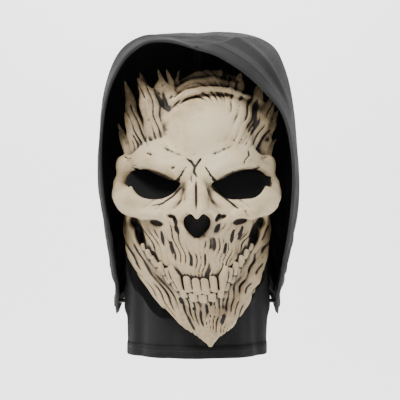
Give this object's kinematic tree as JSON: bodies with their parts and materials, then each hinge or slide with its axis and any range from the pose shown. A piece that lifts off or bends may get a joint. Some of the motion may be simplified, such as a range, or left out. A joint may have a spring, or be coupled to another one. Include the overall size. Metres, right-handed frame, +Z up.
{
  "type": "hooded skull mask",
  "caption": "Latex skull mask with flame-shaped horns, mesh-backed eyes and nose, foam pads, elastic head strap and a cloth hood that folds back on two press studs.",
  "frame": {"origin": "centre of the wearer's head, level with the eyes", "axes": "+Z up, the face looks along -Y, +X is the wearer's left"},
  "size_m": [0.2443, 0.2294, 0.392],
  "materials": {
    "latex": "matte, hand-painted bone with dark brown washes",
    "hood_cloth": "black twill, washed",
    "hem_cloth": "black twill, folded and stitched",
    "tape": "plain woven tape",
    "gauze": "open black mesh",
    "foam": "charcoal foam with a brushed face",
    "elastic": "ribbed woven elastic",
    "drape_cloth": "black twill",
    "leather_patch": "black synthetic leather",
    "slider_plastic": "moulded black",
    "dark_metal": "gunmetal"
  },
  "bodies": {
    "mask": {"face_shell": "latex", "eye_mesh_left": "gauze", "eye_mesh_right": "gauze", "nose_mesh": "gauze", "brow_pad": "foam", "cheek_pad_left": "foam", "cheek_pad_right": "foam", "chin_pad": "foam", "head_strap": "elastic", "strap_tab_left": "leather_patch", "strap_tab_right": "leather_patch", "strap_rivets": "dark_metal", "hood_stud_posts": "dark_metal", "neck_drape_left": "drape_cloth", "neck_drape_right": "drape_cloth", "neck_hem": "hem_cloth"},
    "hood": {"hood_panel_left": "hood_cloth", "hood_panel_right": "hood_cloth", "hood_hem": "hem_cloth", "hood_seam_tape": "tape", "hood_corner_patches": "leather_patch", "hood_stud_caps": "dark_metal"},
    "slider": {"strap_slider": "slider_plastic"}
  },
  "joints": [
    {"name": "hood_swing", "type": "hinge", "parent": "mask", "child": "hood", "pos_m": [0, -0.006, -0.142], "axis": [-1, 0, 0], "range_deg": [0, 55]},
    {"name": "slider_slide", "type": "slide", "parent": "mask", "child": "slider", "axis": [1, 0, 0], "range_m": [-0.018, 0.018]}
  ]
}
